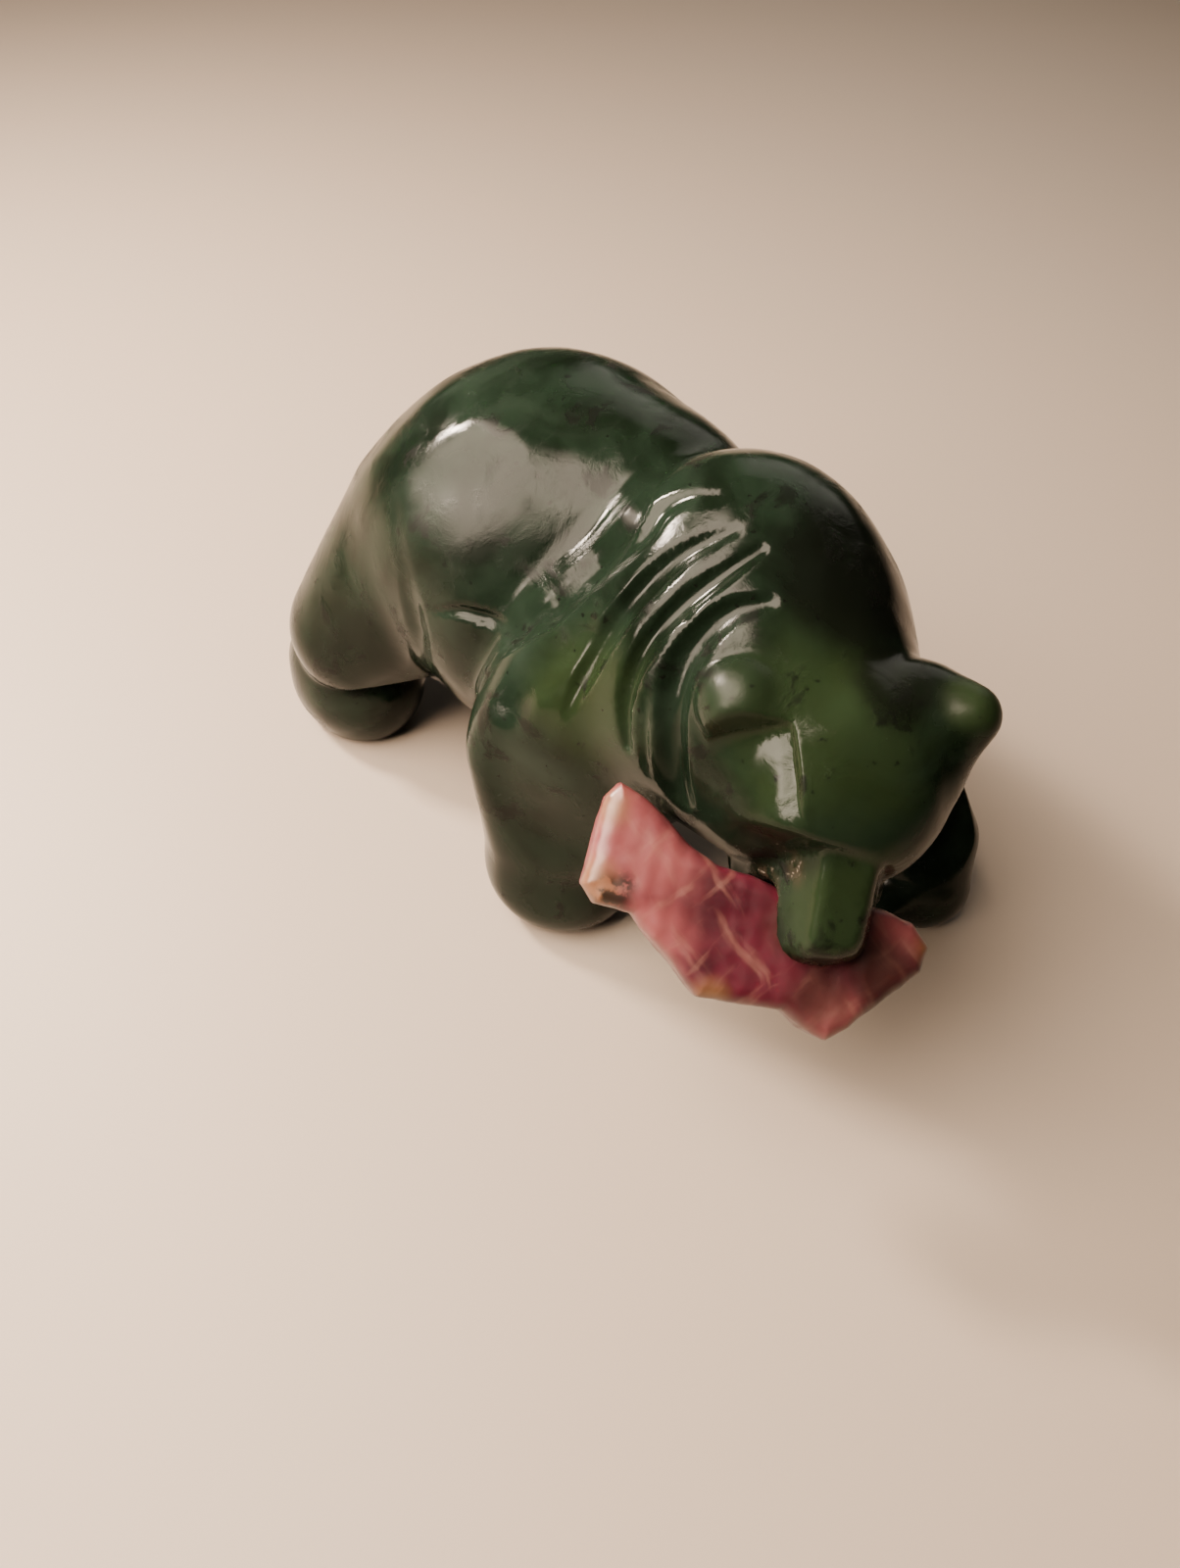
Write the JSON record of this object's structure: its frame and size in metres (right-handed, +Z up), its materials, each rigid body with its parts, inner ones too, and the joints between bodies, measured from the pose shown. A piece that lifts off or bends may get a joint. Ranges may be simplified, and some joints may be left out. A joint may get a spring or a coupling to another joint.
{
  "type": "carved jade bear with a stone fish",
  "caption": "Walking bear carved from mottled green nephrite jade, head turned and lowered, holding a flat pink rhodonite fish crosswise in its mouth. It stands on its feet.",
  "frame": {"origin": "on the ground under the middle of the carving's box", "axes": "+Z up; -Y is the way that the bear's body faces; +X is the bear's own left"},
  "size_m": [0.0751, 0.1167, 0.0667],
  "materials": {
    "green_nephrite": "polished",
    "pink_rhodonite": "polished"
  },
  "bodies": {
    "root": {"bear": "green_nephrite", "fish": "pink_rhodonite"}
  },
  "joints": []
}
